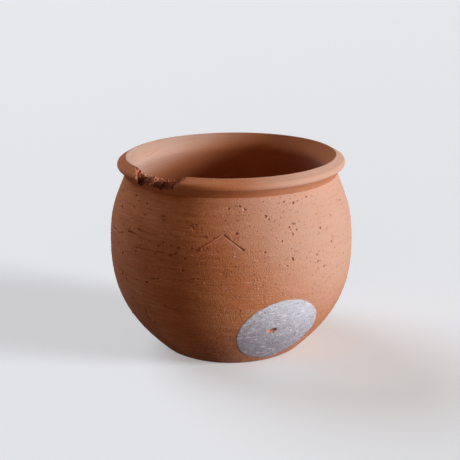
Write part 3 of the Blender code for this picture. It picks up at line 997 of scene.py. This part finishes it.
def stroke(bm, start, end, half_width, depth, slant):
    """A wedge pressed along a line on the skin, deepest near both ends."""
    def spot(t):
        degrees, height = (a + (b - a) * t for a, b in zip(start, end))
        return skin(math.radians(degrees), height * MM)

    lift = math.copysign(STROKE_LIFT, depth)
    wide = half_width * MM * (1.0 + lift / (depth * MM))
    rings = []
    for i in range(STROKE_STEPS + 1):
        t = i / STROKE_STEPS
        centre, outward = spot(t)
        side = outward.cross((spot(t + STROKE_STRIDE)[0] - centre).normalized())
        press = depth * MM * (0.8 + 0.5 * abs(2.0 * t - 1.0) ** 2)
        top = centre + outward * lift
        keel = centre + side * (slant * half_width * MM) - outward * press
        rings.append([bm.verts.new(p) for p in (top - side * wide, top + side * wide, keel)])
    for a, b in zip(rings, rings[1:]):
        for k in range(3):
            bm.faces.new((a[k], a[(k + 1) % 3], b[(k + 1) % 3], b[k]))
    bm.faces.new(rings[0][::-1])
    bm.faces.new(rings[-1])


def hand_guide(name, make, shapes, mark="pit"):
    """One guide for a group of shapes that don't cross."""
    bm = bmesh.new()
    for shape in shapes:
        make(bm, *shape)
    return guide(name, bm, mark)


hand_marks = [hand_guide("stroke_%d" % i, stroke, [shape]) for i, shape in enumerate(STROKES)]
raised_marks = [hand_guide("ridges", stroke, RIDGES, "")]
print("strokes cut", len(hand_marks), "and ridges raised", len(RIDGES))

# %% Press in the plain pits
PIT_TILT = -0.5
# Each plain pit is an angle in degrees and a height in millimetres.
PLAIN_PITS = (
    (-73.0, 75.3), (-55.5, 76.5), (-45.3, 74.7), (-66.4, 69.9), (-54.3, 71.9), (-34.4, 71.3), (-46.6, 64.0),
    (-60.1, 59.9), (-31.5, 61.0), (-59.0, 51.2), (-27.3, 60.1), (-23.9, 59.7), (-20.2, 75.5), (-1.3, 76.2),
    (-11.4, 65.0), (6.4, 75.6), (16.2, 72.4), (17.7, 71.2), (2.3, 66.4), (22.8, 62.1), (29.3, 68.3),
    (27.0, 67.2), (30.7, 65.7), (28.3, 64.2), (44.6, 64.2), (54.2, 67.6), (40.1, 77.4), (26.5, 77.2),
    (14.6, 58.3), (40.9, 53.3), (41.4, 47.2), (22.6, 39.3), (24.6, 51.4), (3.0, 39.3), (3.5, 33.2),
    (-15.8, 44.6), (-60.8, 41.1), (-57.1, 39.6), (-42.2, 22.2),
)
# These pits also have a length, a width and a depth in millimetres.
LARGE_PITS = (
    (27.7, 53.8, 1.9, 1.5, 0.8), (-32.3, 69.9, 4.2, 0.8, 0.6), (-51.7, 61.7, 6.0, 0.9, 0.7),
    (38.4, 38.4, 2.6, 0.9, 0.6), (5.3, 59.9, 1.2, 1.1, 0.9),
)
RAISED_ENDS = ((-13.4, 60.0, 1.0, 1.8, 0.3),)
SPOT_PITS = ((19.6, 21.3, 5.4, 3.0, 1.0),)


def press_pit(bm, degrees, height, length=1.5, width=1.1, depth=0.6):
    """A lumpy stone pressed into the skin and taken out again. A long one lies flatter."""
    centre, outward = skin(math.radians(degrees), height * MM)
    sideways = Vector((0, 0, 1)).cross(outward).normalized()
    tilt = PIT_TILT * min(width / length, 1.0) ** 2
    tipped = (outward + tilt * sideways).normalized()
    along_tip = (sideways - tilt * outward).normalized()
    turn = Matrix((along_tip, tipped.cross(along_tip), tipped)).transposed()
    grow = 1.0 + 0.3 * noise.noise(Vector((degrees, height, 2.5)))
    for vert in bmesh.ops.create_icosphere(bm, subdivisions=2, radius=1.0)["verts"]:
        bump = 1.0 + 0.7 * noise.noise(vert.co * 1.3 + Vector((degrees, height, 0.0)))
        shape = Vector((vert.co.x * length * 0.5, vert.co.y * width * 0.5, vert.co.z * depth))
        vert.co = centre + turn @ shape * (bump * grow * MM)


hand_marks.append(hand_guide("plain_pits", press_pit, PLAIN_PITS + LARGE_PITS))
raised_marks.append(hand_guide("raised_ends", press_pit, RAISED_ENDS, ""))
spot_pit = hand_guide("spot_pit", press_pit, SPOT_PITS)
print("pits placed by hand", len(PLAIN_PITS + LARGE_PITS + SPOT_PITS))

# %% [markdown]
# ## Throwing the pot
# Now the wheel turns each section. The pitting tree runs three times on the wall, for round pits, for pin
# holes and for drag grooves. Then the raised marks are joined on, and the lost piece and the hand marks
# are taken out. The result is kept as a plain mesh, because later steps and the export want one finished
# body and no live modifiers. Cutting can leave crumbs that touch nothing, and those are dropped.

# %% Helpers for finished pieces
SHARP = math.radians(38.0)


def drop_crumbs(mesh):
    """Keep only the largest connected part, and count the others."""
    bm = bmesh.new()
    bm.from_mesh(mesh)
    parts = []
    left = set(bm.verts)
    while left:
        part = []
        reach = [left.pop()]
        while reach:
            vert = reach.pop()
            part.append(vert)
            near = {edge.other_vert(vert) for edge in vert.link_edges} & left
            left -= near
            reach += near
        parts.append(part)
    parts.sort(key=len)
    bmesh.ops.delete(bm, geom=[vert for part in parts[:-1] for vert in part], context="VERTS")
    bm.to_mesh(mesh)
    bm.free()
    return len(parts) - 1


def settle(thing):
    """Keep the evaluated shape as a plain mesh, smooth but for sharp edges, with only the finishes in use."""
    evaluated = thing.evaluated_get(bpy.context.evaluated_depsgraph_get())
    mesh = bpy.data.meshes.new_from_object(evaluated)
    thing.modifiers.clear()
    print("crumbs dropped from", thing.name, drop_crumbs(mesh))
    used = sorted({face.material_index for face in mesh.polygons})
    finishes = [mesh.materials[i] for i in used]
    places = [used.index(face.material_index) for face in mesh.polygons]
    mesh.materials.clear()
    for material in finishes:
        mesh.materials.append(material)
    mesh.polygons.foreach_set("material_index", places)
    mesh.shade_smooth()
    mesh.set_sharp_from_angle(angle=SHARP)
    mesh.name = thing.name
    thing.data = mesh
    mesh.calc_loop_triangles()
    print(thing.name, "has", len(mesh.loop_triangles), "triangles and", [m.name for m in mesh.materials])


def new_piece(name):
    """An empty object for a piece, at the origin."""
    return put_in(name, bpy.data.meshes.new(name))


def take_out(thing, cutter, operation="DIFFERENCE"):
    """Take a guide solid out of a piece, or join it on."""
    cut = thing.modifiers.new(cutter.name, "BOOLEAN")
    cut.operation = operation
    cut.solver = "MANIFOLD"
    cut.object = cutter


print("helpers ready: drop_crumbs, settle, new_piece, take_out")

# %% Turn the wall
ROUND_PITS = {"Seed": 4, "Density": 15000.0, "Depth": 1.1}
PIN_HOLES = {"Seed": 6, "Density": 70000.0, "Spacing": 0.9 * MM, "Smallest": 0.18 * MM, "Largest": 0.45 * MM,
             "Facets": 1}
DRAG_GROOVES = {"Seed": 9, "Density": 9000.0, "Spacing": 2.5 * MM, "Smallest": 0.16 * MM,
                "Largest": 0.36 * MM, "Stretch": 5.0, "Tilt": -0.05}
WALL_CLAYS = {"Clay": wall_clay, "Inner Clay": inside_clay, "Pit Clay": pit_clay, "Broken Clay": broken_clay}

pot_wall = new_piece("pot_wall")
run_tree(pot_wall, wheel, {"Section": wall_section, "Clay": wall_clay, "Shift": 3.7})
for pits in (ROUND_PITS, PIN_HOLES, DRAG_GROOVES):
    run_tree(pot_wall, pitting, {"Clay": pit_clay} | pits)
for shape in raised_marks:
    take_out(pot_wall, shape, "UNION")
for shape in [lost_piece] + hand_marks:
    take_out(pot_wall, shape)
run_tree(pot_wall, dressing, WALL_CLAYS)
settle(pot_wall)

# %% Turn the rim
FINE_LINES = {"Ring Spacing": 0.5 * MM, "Ring Depth": 0.06 * MM, "Drag Length": 20.0 * MM,
              "Drag Height": 0.5 * MM, "Drag Depth": 0.04 * MM, "Sides": 288, "Shift": 8.2}
# Below the bead the rim takes the neck finish, which paints shade into the groove.
RIM_CLAYS = {"Clay": rim_clay, "Inner Clay": rim_clay, "Pit Clay": rim_clay, "Broken Clay": broken_clay,
             "Lower Clay": neck_clay, "Lower Below": bead_centre[1] - 1.2 * MM}

pot_rim = new_piece("pot_rim")
run_tree(pot_rim, wheel, FINE_LINES | {"Section": rim_section, "Clay": rim_clay})
take_out(pot_rim, lost_piece)
run_tree(pot_rim, dressing, RIM_CLAYS)
settle(pot_rim)

# %% Turn the floor
THUMB_RINGS = {"Ring Spacing": 4.0 * MM, "Ring Depth": 0.9 * MM, "Drag Depth": 0.0,
               "Sides": 160, "Shift": 1.4}

pot_floor = new_piece("pot_floor")
run_tree(pot_floor, wheel, THUMB_RINGS | {"Section": floor_section, "Clay": floor_clay})
settle(pot_floor)

# %% [markdown]
# ## Painting the spot
# The spot ends where a slanted plane meets the belly, so its edge is a clean curve. A flat decal would
# float over the pits. Instead the finished wall is swollen by the thickness of the paint, cut by the
# plane, and the wall is taken out of it, so that the coat follows every pit. One pit opened after the
# painting and shows bare clay, so it is taken out of the coat and then out of the wall.

# %% Build the coating tree
coating, given, out = new_tree("Coat of paint", [
    ("Wall", "Object", None),
    ("Coat", "Float", 0.1 * MM),
    ("Facing", "Vector", None),
    ("Plane", "Float", 28.8 * MM),
    ("Block", "Float", 220.0 * MM),
    ("Paint", "Material", None),
], [("Geometry", "Geometry")])
bare = add(coating, "GeometryNodeObjectInfo", {"Object": given["Wall"]}).outputs["Geometry"]
swell = vector_calc(coating, "SCALE", add(coating, "GeometryNodeInputNormal").outputs[0], given["Coat"])
cube = add(coating, "GeometryNodeMeshCube", {"Size": xyz(coating, *[given["Block"]] * 3)})
away = calc(coating, "MULTIPLY_ADD", given["Block"], 0.5, given["Plane"])
block = add(coating, "GeometryNodeTransform", {
    "Geometry": cube.outputs["Mesh"], "Translation": vector_calc(coating, "SCALE", given["Facing"], away),
    "Rotation": turn_to(coating, given["Facing"], (1.0, 0.0, 0.0))})
spot = combined(coating, "INTERSECT", (moved(coating, bare, swell), block.outputs[0]))
coat = realized(coating, combined(coating, "DIFFERENCE", (bare,), spot))
feed(coating, out["Geometry"], clad(coating, coat, given["Paint"]))
print("coating tree has", len(coating.nodes), "nodes")

# %% Paint the spot
PAINT_AZIMUTH = math.radians(25.0)
PAINT_TILT = math.radians(-30.0)
facing = around(PAINT_AZIMUTH, math.cos(PAINT_TILT), math.sin(PAINT_TILT))

silver_patch = new_piece("silver_patch")
run_tree(silver_patch, coating, {"Wall": pot_wall, "Facing": facing, "Paint": silver_paint})
take_out(silver_patch, spot_pit)
run_tree(silver_patch, dressing, dict.fromkeys(["Clay", *MARKS.values()], silver_paint))
settle(silver_patch)

# %% Open the bare pit
take_out(pot_wall, spot_pit)
run_tree(pot_wall, dressing, WALL_CLAYS)
settle(pot_wall)

# %% [markdown]
# ## Joining the pieces to the solids
# Each visible piece takes over from its solid and rides on the same body.
# The sections and the guide solids have done their work and are removed.

# %% Hand over
sections = [wall_section, rim_section, floor_section]
for helper in sections + [lost_piece, spot_pit] + hand_marks + raised_marks:
    bpy.data.objects.remove(helper)
for piece, node, slot in (
    (pot_wall, "belly_wall", "wall_clay"),
    (pot_rim, "rim_collar", "rim_clay"),
    (pot_floor, "floor_disc", "floor_clay"),
    (silver_patch, "silver_spot", "silver_paint"),
):
    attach(piece, "root")
    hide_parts(node)
    print(piece.name, "stands for", node)

# %% [markdown]
# ## Floor and light
# A wide pale floor carries the shadow. One broad soft lamp stands low at the right, like a window, and
# models the belly and every pit. A weaker one from behind at the left keeps the dark side readable, a
# faint warm one fills the front, and a little light comes from all round. The floor looks pale to the
# camera but gives back little light, as a darker bench would.

# %% Lay the floor
GROUND_HALF = 6.0
GROUND_GLOW = 0.32
PALE_GREY = (0.7, 0.7, 0.7)
BENCH = (0.09, 0.062, 0.044)


def seen_directly(tree):
    """1 for rays from the camera, from a mirror or through glass, and 0 for bounced light."""
    rays = add(tree, "ShaderNodeLightPath").outputs
    either = calc(tree, "MAXIMUM", rays["Is Camera Ray"], rays["Is Glossy Ray"])
    return calc(tree, "MAXIMUM", either, rays["Is Transmission Ray"])


bm = bmesh.new()
bmesh.ops.create_grid(bm, x_segments=1, y_segments=1, size=GROUND_HALF)
ground = made_of("ground", bm)
ground_finish, tree, shader = new_material("ground_finish")
seen = seen_directly(tree)
wire(tree, shader, {
    "Base Color": blend(tree, seen, BENCH, PALE_GREY), "Roughness": 0.9, "Emission Color": (1.0, 1.0, 1.0),
    "Emission Strength": calc(tree, "MULTIPLY", seen, GROUND_GLOW)})
ground.data.materials.append(ground_finish)
print("ground is", round(ground.dimensions.x, 1), "m wide")

# %% Hang the lamps
ROOM_FILL = (0.055, 0.038, 0.026)


def soft_lamp(name, azimuth, elevation, strength, spread, colour):
    """A distant lamp with a broad face, aimed at the pot from an angle right of the front."""
    lamp = bpy.data.lights.new(name, "SUN")
    lamp.energy = strength
    lamp.angle = math.radians(spread)
    lamp.color = colour
    thing = put_in(name, lamp)
    rise = math.radians(elevation)
    away = around(math.radians(azimuth), math.cos(rise), math.sin(rise))
    thing.rotation_mode = "QUATERNION"
    thing.rotation_quaternion = away.to_track_quat("Z", "Y")


soft_lamp("window_lamp", 71.0, 11.5, 3.8, 18.0, (0.96, 1.0, 1.06))
soft_lamp("back_lamp", -130.0, 38.0, 1.6, 45.0, (0.9, 1.0, 1.14))
soft_lamp("front_lamp", -5.0, 4.0, 0.4, 70.0, (1.0, 0.6, 0.36))

room = bpy.data.worlds.new("room")
bpy.context.scene.world = room
room.use_nodes = True
tree = room.node_tree
wire(tree, tree.nodes["Background"], {"Color": blend(tree, seen_directly(tree), ROOM_FILL, PALE_GREY)})
bpy.context.scene.view_settings.view_transform = "Standard"
